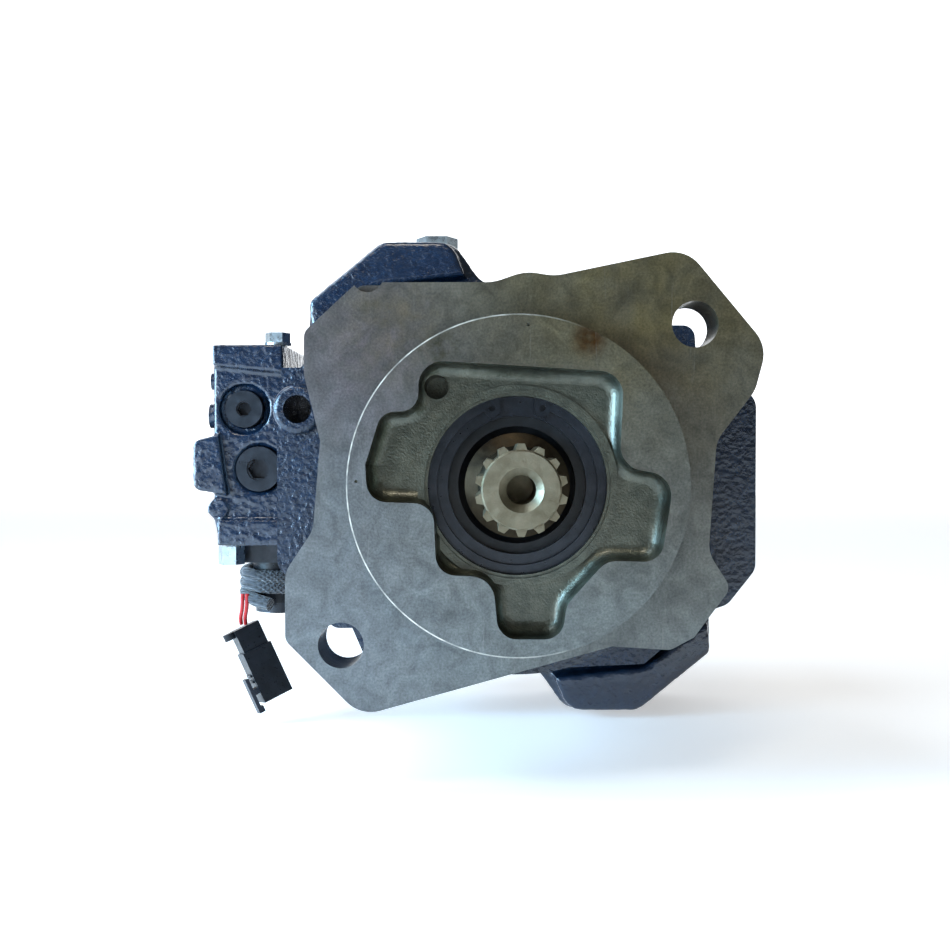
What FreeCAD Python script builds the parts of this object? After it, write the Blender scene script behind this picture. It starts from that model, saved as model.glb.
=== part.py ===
"""Axial piston pump, swashplate type, with a two-bolt flange, a regulator and a solenoid lead.

Frame: the origin is the pilot's centre on the flange's mounting face. +Z is up, +X is right and
+Y runs back into the pump, so the splined shaft end points along -Y. Millimetres and degrees.
"""

import math
import os

import FreeCAD
import Part
import Sketcher

DOC = FreeCAD.newDocument("axial_piston_pump")
SHEET = DOC.addObject("Spreadsheet::Sheet", "Dims")
V = FreeCAD.Vector
X_AXIS, Y_AXIS, Z_AXIS = V(1, 0, 0), V(0, 1, 0), V(0, 0, 1)
NODES = []


class Size:
    """A number together with the spreadsheet expression that gives it."""

    def __init__(self, value, text):
        self.value = value
        self.text = text

    def __add__(self, other):
        return Size(self.value + number(other), f"({self.text} + {words(other)})")

    def __sub__(self, other):
        return Size(self.value - number(other), f"({self.text} - {words(other)})")

    def __mul__(self, other):
        return Size(self.value * number(other), f"({self.text} * {words(other)})")

    def __truediv__(self, other):
        return Size(self.value / number(other), f"({self.text} / {words(other)})")

    def __neg__(self):
        return Size(-self.value, f"(0 - {self.text})")

    __radd__ = __add__


def number(x):
    return x.value if isinstance(x, Size) else float(x)


def as_size(x):
    """A plain number as a size, so that a difference keeps its expression."""
    return x if isinstance(x, Size) else Size(x, str(x))


def words(x):
    return x.text if isinstance(x, Size) else f"{float(x):.6f}"


def size(alias, value):
    """Adds a driving dimension to the sheet."""
    size.row += 1
    cell = f"A{size.row}"
    SHEET.set(cell, str(value))
    SHEET.setAlias(cell, alias)
    return Size(value, f"Dims.{alias}")


size.row = 0


# ---------------------------------------------------------------- driving dimensions

pilot_radius = size("pilot_radius", 63.5)
pilot_height = size("pilot_height", 12.7)
flange_depth = size("flange_depth", 25)
bolt_circle = size("bolt_circle", 181)
bolt_hole_radius = size("bolt_hole_radius", 8.75)
bolt_angle = size("bolt_angle", 42.24)
recess_depth = size("recess_depth", 13.5)
body_back = size("body_back", 158)
cover_depth = size("cover_depth", 72)
cavity_radius = size("cavity_radius", 62)
bell_radius = size("bell_radius", 76)
seal_bore = size("seal_bore_radius", 34)
shaft_front = size("shaft_front", 56)
spline_root = size("spline_root_radius", 13.5)
spline_tip = size("spline_tip_radius", 15.6)
spline_teeth = 14
shaft_radius = size("shaft_radius", 20)
core_radius = size("core_radius", 16)
tail_radius = size("tail_radius", 12.5)
pivot = size("pivot_depth", 80)
tilt_limit = size("tilt_limit", 15)
piston_count = 9
bore_circle = size("bore_circle_radius", 38)
piston_radius = size("piston_radius", 10)
bore_clearance = size("bore_clearance", 0.75)
ball_radius = size("ball_radius", 6.5)
fit = size("running_gap", 0.05)
block_radius = size("block_radius", 53)
block_front = size("block_front", 101)
block_back = size("block_back", 152.5)
lever = size("lever_radius", 65)
control_radius = size("control_piston_radius", 8)
port_radius = size("port_radius", 16)
regulator_front = size("regulator_front", 120)
regulator_back = size("regulator_back", 200)
solenoid_x = size("solenoid_x", 116)
solenoid_y = size("solenoid_y", 152)
sleeve_radius = size("sleeve_radius", 3.2)

DOC.recompute()

TILT = math.radians(tilt_limit.value)
DIAGONAL = math.sqrt(0.5)
TILT_AXIS = V(-DIAGONAL, 0, DIAGONAL)
PIVOT = V(0, pivot.value, 0)


# ---------------------------------------------------------------- building helpers


def set_size(thing, **fields):
    """Sets properties, binding those that are sizes to the sheet."""
    for field, value in fields.items():
        if isinstance(value, Size):
            thing.setExpression(field, value.text)
        else:
            setattr(thing, field, value)
    return thing


def turn(axis, degrees, centre=V(0, 0, 0)):
    return FreeCAD.Placement(V(0, 0, 0), FreeCAD.Rotation(axis, degrees), centre)


def node(name, thing, place=None):
    """Names a finished sub-part."""
    thing.Label = name
    if place is not None:
        thing.Placement = place
    NODES.append(thing)
    return thing


def new_body():
    return DOC.addObject("PartDesign::Body", "Body")


def sketch_on(body, role, back=None):
    """An empty sketch on one of the body's origin planes, moved back along +Y if asked."""
    sketch = body.newObject("Sketcher::SketchObject", "Sketch")
    plane = [f for f in body.Origin.OriginFeatures if f.Role == role][0]
    sketch.AttachmentSupport = [(plane, "")]
    sketch.MapMode = "FlatFace"
    if back is not None:
        sketch.setExpression("AttachmentOffset.Base.z", (-as_size(back)).text)
    return sketch


def polygon(sketch, corners):
    """A closed outline whose corners are held at the given sizes."""
    count = len(corners)
    spots = [V(number(a), number(b), 0) for a, b in corners]
    for i in range(count):
        sketch.addGeometry(Part.LineSegment(spots[i], spots[(i + 1) % count]), False)
    for i in range(count):
        sketch.addConstraint(Sketcher.Constraint("Coincident", i, 2, (i + 1) % count, 1))
    for i, corner in enumerate(corners):
        for kind, along in zip(("DistanceX", "DistanceY"), corner):
            fixed = Sketcher.Constraint(kind, -1, 1, i, 1, number(along))
            index = sketch.addConstraint(fixed)
            if isinstance(along, Size):
                sketch.setExpression(f"Constraints[{index}]", along.text)


def circles(sketch, spots):
    """Circles given as (x, z, radius)."""
    for x, z, radius in spots:
        centre = V(number(x), number(z), 0)
        index = sketch.addGeometry(Part.Circle(centre, Z_AXIS, number(radius)), False)
        for kind, value in (("DistanceX", x), ("DistanceY", z)):
            place = sketch.addConstraint(Sketcher.Constraint(kind, -1, 1, index, 3, number(value)))
            if isinstance(value, Size):
                sketch.setExpression(f"Constraints[{place}]", value.text)
        wide = sketch.addConstraint(Sketcher.Constraint("Radius", index, number(radius)))
        if isinstance(radius, Size):
            sketch.setExpression(f"Constraints[{wide}]", radius.text)


def extrude(body, kind, draw, shapes, front, back):
    """A pad or pocket between two depths, drawn on a plane across the shaft."""
    sketch = sketch_on(body, "XZ_Plane", front)
    draw(sketch, shapes)
    before = body.Shape.Volume if kind == "Pocket" else 0
    feature = body.newObject(f"PartDesign::{kind}", kind)
    feature.Profile = sketch
    set_size(feature, Length=as_size(back) - front)
    feature.Reversed = kind == "Pad"
    DOC.recompute()
    if kind == "Pocket" and body.Shape.Volume > before - 1e-3:
        feature.Reversed = True
        DOC.recompute()
        if body.Shape.Volume > before - 1e-3:
            raise RuntimeError(f"a pocket at {number(front)} cuts nothing")
    return feature


def pad(body, corners, front, back):
    return extrude(body, "Pad", polygon, corners, front, back)


def pad_round(body, spots, front, back):
    return extrude(body, "Pad", circles, spots, front, back)


def pocket(body, corners, front, back):
    return extrude(body, "Pocket", polygon, corners, front, back)


def drill(body, spots, front, back):
    return extrude(body, "Pocket", circles, spots, front, back)


def round_edges(body, spots, radius, reach=0.6):
    """Rounds the last feature's edges that run along Y through the given (x, z) spots."""
    feature = body.Tip
    names = []
    for i, edge in enumerate(feature.Shape.Edges):
        ends = [v.Point for v in edge.Vertexes]
        if len(ends) != 2 or abs(ends[0].y - ends[1].y) < 2:
            continue
        for x, z in spots:
            if all(abs(p.x - number(x)) < reach and abs(p.z - number(z)) < reach for p in ends):
                names.append(f"Edge{i + 1}")
    return dress(body, "Fillet", names, Radius=radius)


def round_outline(body, depth, radius, corners, reach=6):
    """Rounds the edges that lie across the shaft at a depth, along a run of corners."""
    spots = [V(number(x), number(depth), number(z)) for x, z in corners]
    run = Part.makePolygon(spots)
    names = []
    for i, edge in enumerate(body.Tip.Shape.Edges):
        box = edge.BoundBox
        flat = max(abs(box.YMin - number(depth)), abs(box.YMax - number(depth))) < 1e-4
        if flat and run.distToShape(Part.Vertex(box.Center))[0] < reach:
            names.append(f"Edge{i + 1}")
    return dress(body, "Fillet", names, Radius=radius)


def dress(body, kind, names, **fields):
    """A fillet or chamfer on named edges of the body's last feature."""
    base = body.Tip
    feature = body.newObject(f"PartDesign::{kind}", kind)
    feature.Base = (base, names)
    set_size(feature, **fields)
    DOC.recompute()
    if not names or feature.State != ["Up-to-date"] and "Invalid" in feature.State:
        raise RuntimeError(f"{kind} failed on {names}")
    return feature


def revolved(profile):
    """A round body: the (radius, y) profile turned about the Y axis."""
    body = new_body()
    sketch = sketch_on(body, "XY_Plane")
    polygon(sketch, profile)
    feature = body.newObject("PartDesign::Revolution", "Revolution")
    feature.Profile = sketch
    feature.ReferenceAxis = (sketch, ["V_Axis"])
    feature.Angle = 360
    return body


def turned(name, profile, place=None):
    return node(name, revolved(profile), place)


def ring_profile(outer, inner, front, back):
    return [(inner, front), (outer, front), (outer, back), (inner, back)]


def gather(name, *things):
    """Several separate pieces of one kind in one node."""
    together = DOC.addObject("Part::Compound", "Compound")
    together.Links = list(things)
    return node(name, together)


def tube(name, outer, inner, front, back, place=None):
    return turned(name, ring_profile(outer, inner, front, back), place)


def group(name, shapes):
    """Several loose solids of one kind in one node."""
    feature = DOC.addObject("Part::Feature", name)
    feature.Shape = Part.makeCompound(shapes)
    return node(name, feature)


def spring(name, coil_radius, wire_radius, front, back, turns, place=None):
    """A helical compression spring between two depths, with its axis on Y."""
    height = number(back) - number(front) - 2 * wire_radius
    helix = Part.makeHelix(height / turns, height, coil_radius)
    section = Part.Wire(Part.makeCircle(wire_radius, V(coil_radius, 0, 0), Y_AXIS))
    shape = Part.Wire(helix.Edges).makePipeShell([section], True, True)
    feature = DOC.addObject("Part::Feature", name)
    feature.Shape = shape
    lay = FreeCAD.Placement(V(0, number(front) + wire_radius, 0), FreeCAD.Rotation(X_AXIS, -90))
    return node(name, feature, place * lay if place else lay)


# Part primitives, for pieces that are simple sums and differences of round and square blocks.


def cylinder(radius, front, back, place=FreeCAD.Placement()):
    """A cylinder on the Y axis between two depths, then placed."""
    thing = DOC.addObject("Part::Cylinder", "Cylinder")
    set_size(thing, Radius=radius, Height=as_size(back) - front)
    lay = FreeCAD.Placement(V(0, number(front), 0), FreeCAD.Rotation(X_AXIS, -90))
    thing.Placement = place * lay
    return thing


def block(low, high, place=FreeCAD.Placement()):
    """A box between two corners, then placed."""
    thing = DOC.addObject("Part::Box", "Box")
    sides = [as_size(top) - bottom for bottom, top in zip(low, high)]
    set_size(thing, Length=sides[0], Width=sides[1], Height=sides[2])
    thing.Placement = place * FreeCAD.Placement(V(*[number(l) for l in low]), FreeCAD.Rotation())
    return thing


def ball(radius, place=FreeCAD.Placement()):
    thing = set_size(DOC.addObject("Part::Sphere", "Sphere"), Radius=radius)
    thing.Placement = place
    return thing


def hexagon(across_flats, front, back, place=FreeCAD.Placement()):
    """A six-sided prism on the Y axis, as on a screw or plug head."""
    thing = DOC.addObject("Part::Prism", "Prism")
    thing.Polygon = 6
    set_size(thing, Circumradius=across_flats / math.sqrt(3), Height=number(back) - number(front))
    lay = FreeCAD.Placement(V(0, number(front), 0), FreeCAD.Rotation(X_AXIS, -90))
    thing.Placement = place * lay
    return thing


def fuse(*things):
    whole = DOC.addObject("Part::MultiFuse", "Fuse")
    whole.Shapes = list(things)
    return whole


def cut(base, *tools):
    rest = DOC.addObject("Part::Cut", "Cut")
    rest.Base = base
    rest.Tool = fuse(*tools) if len(tools) > 1 else tools[0]
    return rest


def common(first, second):
    both = DOC.addObject("Part::Common", "Common")
    both.Base = first
    both.Tool = second
    return both


def across(along_tilt, along_lever):
    """The (x, z) of a point given along the swash plate's tilt axis and its lever direction."""
    return (along_lever * DIAGONAL + along_tilt * DIAGONAL, along_lever * DIAGONAL - along_tilt * DIAGONAL)


def opposite(corners):
    """The same outline turned half a turn about the shaft."""
    return [(-x, -z) for x, z in corners]


def blunted(corners, radii, steps=6):
    """The outline with its corners replaced by arcs drawn as short straight runs."""
    blunt = []
    for i, radius in enumerate(radii):
        here = V(*corners[i], 0)
        before = V(*corners[i - 1], 0) - here
        after = V(*corners[(i + 1) % len(corners)], 0) - here
        half = before.getAngle(after) / 2
        before.normalize()
        after.normalize()
        if radius == 0:
            blunt.append(corners[i])
            continue
        first = here + before * (radius / math.tan(half))
        last = here + after * (radius / math.tan(half))
        centre = here + (before + after).normalize() * (radius / math.sin(half))
        for k in range(steps + 1):
            spoke = (first - centre) * (1 - k / steps) + (last - centre) * (k / steps)
            spot = centre + spoke.normalize() * radius
            blunt.append((round(spot.x, 3), round(spot.y, 3)))
    return blunt


def shift(x=0, y=0, z=0):
    return FreeCAD.Placement(V(x, y, z), FreeCAD.Rotation())


# ---------------------------------------------------------------- housing

bolt_cos = math.cos(math.radians(bolt_angle.value))
bolt_sin = math.sin(math.radians(bolt_angle.value))
BOLT_HOLES = [
    (bolt_circle * (side * bolt_cos / 2), bolt_circle * (side * bolt_sin / 2), bolt_hole_radius)
    for side in (1, -1)
]

# The flange's corners, clockwise from the upper left.
FLANGE = [
    (-60.5, 76.7), (-9, 76.7), (3, 80.8), (14, 79),
    (63.5, 89.2), (94, 52.5), (89.6, 35.8), (75.2, 17), (72.3, -25.5), (80.8, -38.8),
    (67, -57.5), (58, -62.4), (36, -61), (-59.5, -87.8), (-88.2, -59), (-88.2, -33),
    (-77.5, -17), (-74.7, 17), (-80.8, 42), (-80.8, 58),
]
EAR_CORNERS = [(63.5, 89.2), (94, 52.5), (-59.5, -87.8)]
SMALL_CORNERS = [(-60.5, 76.7), (58, -62.4), (80.8, -38.8), (-80.8, 58), (-88.2, -59)]
GENTLE_CORNERS = [(-9, 76.7), (3, 80.8), (14, 79)]
WIDE_CORNERS = [(89.6, 35.8), (75.2, 17), (72.3, -25.5), (-88.2, -33), (-77.5, -17), (-80.8, 42)]

# The cast recess in the pilot: five lobes round the seal bore.
RECESS = [
    (-36.6, 46.6), (38.9, 42), (37.3, 7.2), (57.6, 3.8), (52.6, -28), (32.6, -27.3),
    (18, -43.5), (16.2, -56.5), (-7.2, -56.5), (-9.4, -33.6), (-30.2, -32.6), (-31.3, -6.5),
    (-55.6, -5.6), (-56.4, 8), (-50.4, 27.3), (-36.9, 27.9),
]
RECESS_WIDE = [
    (-36.6, 46.6), (38.9, 42), (37.3, 7.2), (57.6, 3.8), (18, -43.5), (32.6, -27.3), (-9.4, -33.6),
]
RECESS_TIGHT = [(52.6, -28), (16.2, -56.5), (-7.2, -56.5), (-30.2, -32.6), (-55.6, -5.6), (-31.3, -6.5)]
RECESS_SMALL = [(-50.4, 27.3), (-36.9, 27.9)]

# The joint between housing and end cover, and the cover's two port bosses.
COVER_HALF = [
    (-102, 78), (-101, 88), (-64, 118.2), (-28, 118.2), (-14, 98), (62, 98),
    (73, 86), (78, 76.5), (91, 76.5), (92, 44),
]
COVER = COVER_HALF + opposite(COVER_HALF)
JOINT_HALF = [(-96, 66), (-66, 92), (62, 98), (73, 86), (78, 74.5), (90, 74.5), (92, 44)]
JOINT = JOINT_HALF + opposite(JOINT_HALF)
FLANK = [(60, 50), (84, 44), (95, 33), (95, -34), (84, -48), (60, -56)]

BOSS_CORNERS = [(-100.5, 87.5), (-64, 117.3), (-29, 117.3), (-22, 100), (-67, 95), (-99, 72)]
BOSS = blunted(BOSS_CORNERS, [5, 11, 11, 0, 0, 0])
COVER_ROUNDING = [
    ([(-64, 118.2)], 10), ([(-28, 118.2)], 11), ([(-14, 98), (62, 98)], 9),
    ([(-102, 78), (-101, 88)], 4), ([(91, 76.5)], 6),
]

# The drain's boss in the left lobe, and a spot beside its centre.
DRAIN = (-86.5, 29.5)
DRAIN_EDGE = (-86.5, 29.6)

joint_front = body_back - 18
front_wall = 30
bearing_end = 45
LEVER_SPOTS = [across(0, lever.value), across(0, -lever.value)]
COVER_SCREWS = [(78, 62), (-78, -62), (-28, 86), (28, -86), (-86, 8), (86, -8)]


def make_housing():
    body = new_body()
    pad(body, FLANGE, 0, flange_depth)
    round_edges(body, EAR_CORNERS, 13)
    round_edges(body, SMALL_CORNERS, 5)
    round_edges(body, WIDE_CORNERS, 12)
    round_edges(body, GENTLE_CORNERS, 18)
    pad_round(body, [(0, 0, pilot_radius)], -pilot_height, flange_depth)
    pad_round(body, [(0, 0, bell_radius)], flange_depth - 2, joint_front + 1)
    for side, flank in ((1, FLANK), (-1, opposite(FLANK))):
        pad(body, flank, flange_depth - 2, body_back - 40)
        round_edges(body, [(side * x, side * z) for x, z in FLANK[1:5]], 7)
    for x, z in LEVER_SPOTS:
        pad_round(body, [(x, z, 20)], 41, joint_front + 1)
    pad(body, JOINT, joint_front, body_back)
    round_edges(body, [(62, 98), (-62, -98)], 10)
    round_edges(body, [(90, 74.5), (-90, -74.5)], 6)
    pad_round(body, [(*DRAIN, 10)], 20, 62)
    round_outline(body, 20, 2.5, [DRAIN, DRAIN_EDGE], 1)
    pad(body, [(-108, 52), (-90, 52), (-90, -31), (-108, -31)], 112, body_back)
    pocket(body, RECESS, -pilot_height - 1, recess_depth - pilot_height)
    round_edges(body, RECESS_WIDE, 9)
    round_edges(body, RECESS_TIGHT, 7.5)
    round_edges(body, RECESS_SMALL, 6.5)
    round_outline(body, recess_depth - pilot_height, 5, RECESS + RECESS[:1])
    pad_round(body, [(0, 0, 38)], recess_depth - pilot_height - 1.6, 20)
    drill(body, [(0, 0, seal_bore)], recess_depth - pilot_height - 3, 20)
    drill(body, [(0, 0, 35.2)], recess_depth - pilot_height - 3, recess_depth - pilot_height - 0.6)
    drill(body, [(0, 0, 35.2)], 3.4, 5.8)
    drill(body, [(0, 0, 30)], 15, body_back)
    drill(body, [(0, 0, seal_bore)], 25, body_back)
    hollow_housing(body)
    drill(body, BOLT_HOLES, -1, flange_depth + 1)
    drill(body, [(-30.6, 37.2, 4.6)], -1, 18)
    drill(body, [(-56.7, 79, 6)], -1, 9)
    drill(body, [(3.6, 59.4, 0.6), (-59.8, 1.8, 0.6)], -pilot_height - 1, -pilot_height + 1.2)
    drill(body, [(*DRAIN, 5.6)], 19, 44)
    drill(body, [(x, z, 5.1) for x, z in COVER_SCREWS], body_back - 30, body_back + 1)
    node("pump_housing", body)


def hollow_housing(body):
    """Takes the chamber for the swash plate and cylinder block out of the housing."""
    chamber = make_chamber()
    cutter = body.newObject("PartDesign::Boolean", "Hollow")
    cutter.Type = "Cut"
    cutter.setObjects([chamber])
    DOC.recompute()


def make_chamber():
    """The chamber's own shape, as a body that the housing subtracts."""
    tool = new_body()
    pad_round(tool, [(0, 0, cavity_radius)], front_wall, body_back + 1)
    for x, z in LEVER_SPOTS:
        pad_round(tool, [(x, z, 14)], bearing_end + 1, body_back + 1)
        inner = lever.value - 25
        side = 1 if x > 0 else -1
        corners = [across(-12, side * inner), across(12, side * inner)]
        corners += [across(12, side * lever.value), across(-12, side * lever.value)]
        pad(tool, corners, bearing_end + 1, 112)
    drill(tool, [(0, 0, 42)], 0, bearing_end + 1)
    return tool


# ---------------------------------------------------------------- swash plate and its support

SQUARE_TO_LEVER = turn(Y_AXIS, 45)
AT_PIVOT = SQUARE_TO_LEVER * shift(y=pivot.value)
TILTED = turn(TILT_AXIS, -tilt_limit.value, PIVOT)
SWASH = TILTED * AT_PIVOT
ALONG_TILT = FreeCAD.Placement(V(0, 0, 0), FreeCAD.Rotation(Z_AXIS, -90))
swash_face = 7
swash_back = 19
runner_radius = 47
shell_radius = 49.9


def make_swash_support():
    """The ring that carries the cradle bearings: two blocks with hollow backs on a flat ring."""
    ring = cylinder(61.8, front_wall + 0.1, front_wall + 5)
    feet = [
        block((s * 47.5 - 5.5, front_wall + 0.1, -30), (s * 47.5 + 5.5, 46, 30), SQUARE_TO_LEVER)
        for s in (1, -1)
    ]
    hollow = cylinder(shell_radius + 0.05, -80, 80, AT_PIVOT * ALONG_TILT)
    opening = cylinder(42.2, 0, 60)
    node("swash_support", cut(common(fuse(ring, *feet), cylinder(61.8, 20, 60)), hollow, opening))


def make_cradle_bearings():
    shells = []
    for s in (1, -1):
        low, high = sorted((s * 42.6, s * 52.4))
        half = cut(cylinder(shell_radius, low, high, ALONG_TILT),
                   cylinder(runner_radius + 0.1, low - 1, high + 1, ALONG_TILT))
        shells.append(common(half, block((low, -60, -30), (high, -30, 30))))
    node("cradle_bearings", fuse(*shells), AT_PIVOT)


def make_swash_plate():
    disc = cylinder(53, -swash_back, -swash_face)
    arms = [block((-9, -14, s * 58.5 - 14.5), (9, -7.5, s * 58.5 + 14.5)) for s in (1, -1)]
    pads = [block((-9, -12, s * 62.25 - 10.75), (9, 0, s * 62.25 + 10.75)) for s in (1, -1)]
    runners = [
        common(cylinder(runner_radius, s * 47.4 - 4.6, s * 47.4 + 4.6, ALONG_TILT),
               block((s * 47.4 - 6, -60, -20), (s * 47.4 + 6, -swash_face - 2, 20)))
        for s in (1, -1)
    ]
    whole = fuse(disc, *arms, *pads, *runners)
    node("swash_plate", cut(whole, cylinder(24.5, -30, 10)), SWASH)


# ---------------------------------------------------------------- rotating group

swing = bore_circle * 2 / (1 + math.cos(TILT))
foot_back = -3.5


def piston_angles():
    return [360 * i / piston_count + 10 for i in range(piston_count)]


def ball_place(degrees):
    """A ball centre in the swash plate's own frame."""
    a = math.radians(degrees)
    return shift(swing.value * math.cos(a), 0, swing.value * math.sin(a))


def make_slippers():
    for i, angle in enumerate(piston_angles()):
        foot = cylinder(9.5, -swash_face + 0.05, foot_back)
        neck = cylinder(8.4, foot_back - 0.5, 3.2)
        socket = ball(ball_radius + fit)
        feed = cylinder(1, -9, 0)
        node(f"slipper_{i + 1}", cut(fuse(foot, neck), socket, feed), SWASH * ball_place(angle))


def make_pistons():
    for i, angle in enumerate(piston_angles()):
        head = ball(ball_radius)
        neck = cylinder(4, 3, 12)
        skirt = cylinder(piston_radius, 9, 55)
        hollow = cylinder(5.5, 18, 56)
        centre = (SWASH * ball_place(angle)).Base
        node(f"piston_{i + 1}", cut(fuse(head, neck, skirt), hollow), shift(*centre))


def make_retainer():
    plate = cylinder(50, foot_back + 0.1, foot_back + 2.6)
    holes = [cylinder(8.8, -9, 5, ball_place(angle)) for angle in piston_angles()]
    node("retainer_plate", cut(plate, cylinder(23.1, -9, 5), *holes), SWASH)
    dome = common(ball(23), cylinder(23, -8, 14))
    nose = cylinder(20, 10, 20.8)
    bore = cylinder(core_radius + fit, -20, 30)
    node("retaining_ball", cut(fuse(dome, nose), bore), shift(y=pivot.value))


def make_cylinder_block():
    body = new_body()
    pad_round(body, [(0, 0, block_radius)], block_front, block_back)
    drill(body, [(0, 0, core_radius + fit)], block_front - 1, block_back + 1)
    drill(body, [(0, 0, 24)], block_front + 11, block_back + 1)
    drill(body, [(0, bore_circle, piston_radius + bore_clearance)], block_front - 1, block_back - 5.5)
    repeat(body, piston_count, 1)
    drill(body, [(0, bore_circle, 5)], block_back - 7, block_back + 1)
    repeat(body, piston_count, 1)
    first = piston_angles()[0]
    node("cylinder_block", body, turn(Y_AXIS, 45) * turn(Y_AXIS, 90 - first))


def repeat(body, count, features):
    """Repeats the body's last feature round the Y axis."""
    last = body.Tip
    pattern = body.newObject("PartDesign::PolarPattern", "PolarPattern")
    pattern.Originals = [last]
    pattern.Axis = ([f for f in body.Origin.OriginFeatures if f.Role == "Y_Axis"][0], [""])
    pattern.Angle = 360
    pattern.Occurrences = count
    body.Tip = pattern
    DOC.recompute()


def make_shaft():
    body = new_body()
    sketch = sketch_on(body, "XY_Plane")
    front = -shaft_front
    polygon(sketch, [
        (0, front), (spline_root - 0.6, front), (spline_root, front + 1), (spline_root, -10),
        (15, -8), (15, 1), (shaft_radius, 3), (shaft_radius, bearing_end), (22.5, bearing_end + 0.1),
        (22.5, 48.5), (core_radius, 49.5), (core_radius, 157), (tail_radius, 157.1),
        (tail_radius, 175.7), (0, 175.7),
    ])
    feature = body.newObject("PartDesign::Revolution", "Revolution")
    feature.Profile = sketch
    feature.ReferenceAxis = (sketch, ["V_Axis"])
    feature.Angle = 360
    DOC.recompute()
    drill(body, [(0, 0, 5)], front - 1, front + 32)
    root = spline_root - 1
    tooth = [(-2.3, root), (2.3, root), (1.1, spline_tip), (-1.1, spline_tip)]
    pad(body, tooth, front + 1.2, -11)
    repeat(body, spline_teeth, 1)
    bevel_centre_hole(body, front)
    node("drive_shaft", body)


def bevel_centre_hole(body, front):
    """Countersinks the centre hole in the shaft's end."""
    names = []
    for i, edge in enumerate(body.Tip.Shape.Edges):
        round_edge = isinstance(edge.Curve, Part.Circle)
        if round_edge and abs(edge.Curve.Radius - 5) < 0.1 and abs(edge.Curve.Center.y - front.value) < 0.1:
            names.append(f"Edge{i + 1}")
    dress(body, "Chamfer", names, Size=2.6)


def roller_bearing(outer, inner, front, back, roller, count):
    """The outer ring, inner ring and rollers of a bearing between two depths."""
    pitch = (outer + inner) / 2
    track = roller + fit.value
    rim = 2.2
    outer_ring = revolved(ring_profile(outer, pitch + track, front, back))
    inner_ring = revolved([
        (inner, front), (pitch - track + rim, front), (pitch - track + rim, front + 1.8),
        (pitch - track, front + 1.8), (pitch - track, back - 1.8), (pitch - track + rim, back - 1.8),
        (pitch - track + rim, back), (inner, back),
    ])
    rollers = []
    for i in range(count):
        a = 2 * math.pi * i / count
        place = shift(pitch * math.cos(a), 0, pitch * math.sin(a))
        rollers.append(cylinder(roller, front + 2, back - 2, place))
    return outer_ring, inner_ring, rollers


def make_bearings():
    front = roller_bearing(seal_bore.value - 0.02, shaft_radius.value, 25.1, 44.9, 2.75, 18)
    rear = roller_bearing(25.95, tail_radius.value, 158.2, 175.5, 2.6, 14)
    gather("bearing_outer_rings", front[0], rear[0])
    gather("bearing_inner_rings", front[1], rear[1])
    gather("bearing_rollers", *front[2], *rear[2])


def make_front_seal():
    turned("shaft_seal", [
        (22.6, 9), (33.95, 9), (33.95, 19), (31, 19), (31, 12.5), (24, 12.5), (21.6, 16.5),
        (shaft_radius + 0.1, 16.2), (shaft_radius + 0.1, 15), (22.6, 12),
    ])
    tube("seal_washer", 33.9, 26.5, 5.9, 8.9)
    ring = cut(cylinder(34.9, 3.7, 5.5), cylinder(30.6, 3, 6))
    lug_angle = 18
    lugs = []
    eyes = []
    for side in (1, -1):
        place = turn(Y_AXIS, side * lug_angle) * shift(z=30.9)
        lugs.append(cylinder(3.4, 3.7, 5.5, place))
        eyes.append(cylinder(1.2, 3, 6, place))
    gap = block((-6.6, 3, 25), (6.6, 6, 36))
    node("seal_circlip", cut(fuse(ring, *lugs), gap, *eyes))


def make_block_spring():
    spring("block_spring", 20, 1.9, 114.1, 143.9, 4.5)
    rings = [
        revolved(ring_profile(outer, inner, front, back)) for outer, inner, front, back in
        ((23.5, 16.2, 112.1, 114), (23.8, 16.2, 144, 146), (23.9, 18.5, 146.1, 147.8))
    ]
    gather("block_spring_rings", *rings)


def make_valve_plate():
    body = new_body()
    pad_round(body, [(0, 0, 52)], block_back + 0.1, body_back)
    drill(body, [(0, 0, 26)], block_back - 1, body_back + 1)
    for side in (1, -1):
        for degrees in (-52, -26, 0, 26, 52):
            a = math.radians(135 + degrees + (0 if side > 0 else 180))
            drill(body, [(bore_circle * math.cos(a), bore_circle * math.sin(a), 5)],
                  block_back - 1, body_back + 1)
    node("valve_plate", body)


# ---------------------------------------------------------------- stroke control

BIAS = turn(Y_AXIS, 45) * shift(z=lever.value)
CONTROL = turn(Y_AXIS, 45) * shift(z=-lever.value)
reach_at_rest = lever.value * math.tan(TILT)
nose_radius = 8
nose_offset = nose_radius / math.cos(TILT)


def domed_rod(name, radius, centre, back, place):
    """A rod with a round nose whose centre is at the given depth."""
    return node(name, fuse(ball(nose_radius, shift(y=centre)), cylinder(radius, centre, back)), place)


def make_stroke_control():
    control_nose = pivot.value + reach_at_rest + nose_offset + 0.12
    bias_nose = pivot.value - reach_at_rest + nose_offset + 0.25
    domed_rod("control_piston", control_radius, control_nose, 160, CONTROL)
    tube("control_cylinder", 11, control_radius + fit, 125, 184, CONTROL)
    stem = cylinder(6, bias_nose, bias_nose + 50)
    head = cylinder(11, bias_nose, bias_nose + 5)
    seat = fuse(ball(nose_radius, shift(y=bias_nose)), stem, head)
    node("bias_spring_seat", seat, BIAS)
    spring("bias_spring", 9, 1.5, bias_nose + 5.3, 168, 9, BIAS)
    guide = cut(fuse(cylinder(11, 168.1, 172), cylinder(7.3, 140, 172)), cylinder(6.1, 100, 165))
    node("bias_spring_guide", guide, BIAS)
    stop = cylinder(4, 190, 240, CONTROL)
    nut = cut(hexagon(13, 230.1, 237, CONTROL), cylinder(4.1, 210, 250, CONTROL))
    return stop, nut


# ---------------------------------------------------------------- end cover

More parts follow.
